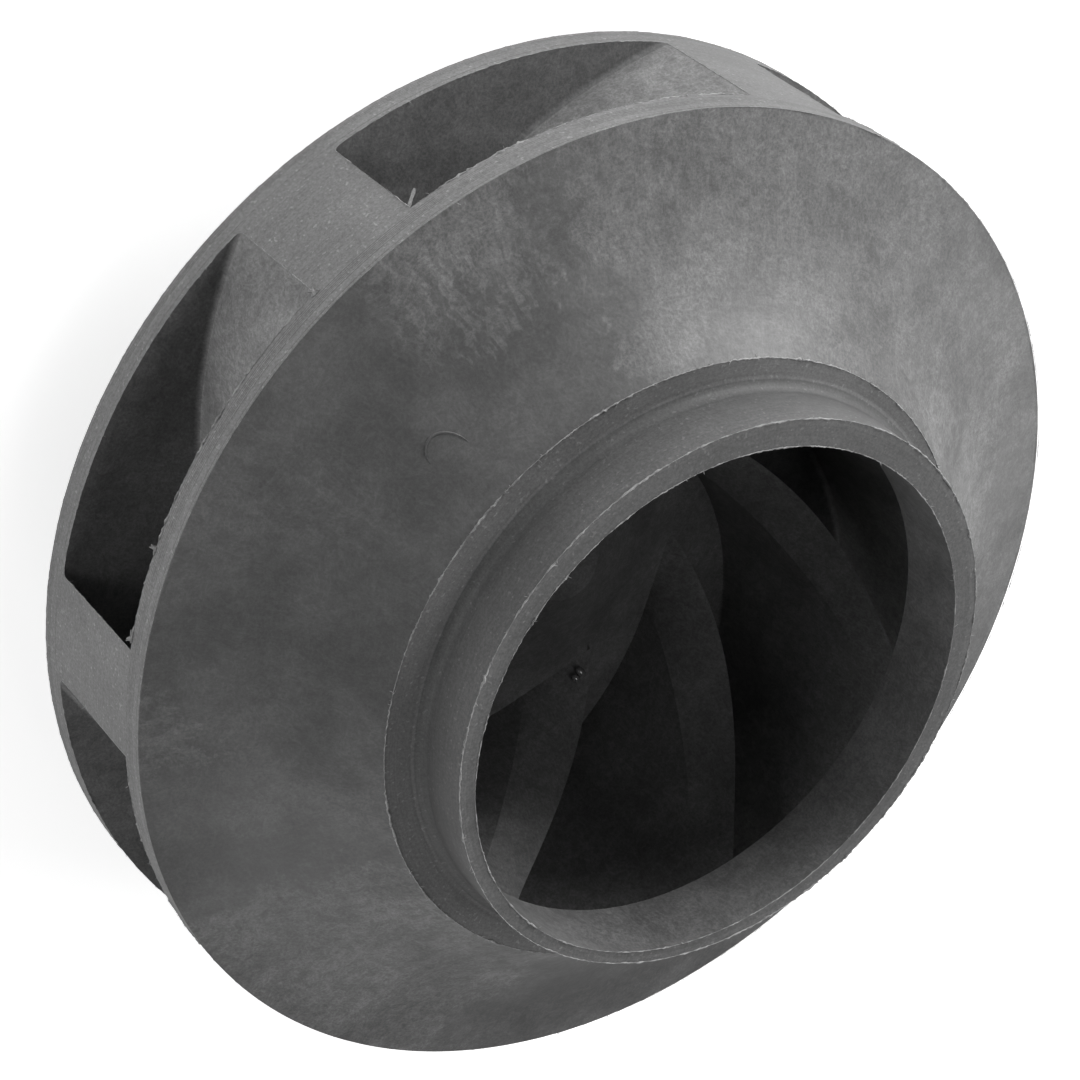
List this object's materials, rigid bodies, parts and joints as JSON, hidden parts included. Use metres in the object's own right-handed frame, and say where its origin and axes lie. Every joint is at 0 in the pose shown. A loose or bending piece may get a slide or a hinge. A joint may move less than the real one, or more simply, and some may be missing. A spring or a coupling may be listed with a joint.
{
  "type": "pump impeller",
  "caption": "Closed centrifugal pump impeller, moulded in one piece, with backward-curved vanes between two shrouds, a turned inlet neck and a rear hub with a tapped hole.",
  "frame": {"origin": "centre of the rear hub's end face, which seats on the shaft's shoulder and on which the part stands", "axes": "+Z along the shaft axis, from the shaft side to the eye; +Y towards the side of the rim that is uppermost in the picture"},
  "size_m": [0.14, 0.14, 0.0668],
  "materials": {
    "impeller": "glass-fibre-filled moulding, dark grey, with turned faces"
  },
  "bodies": {
    "root": {"impeller": "impeller"}
  },
  "joints": []
}
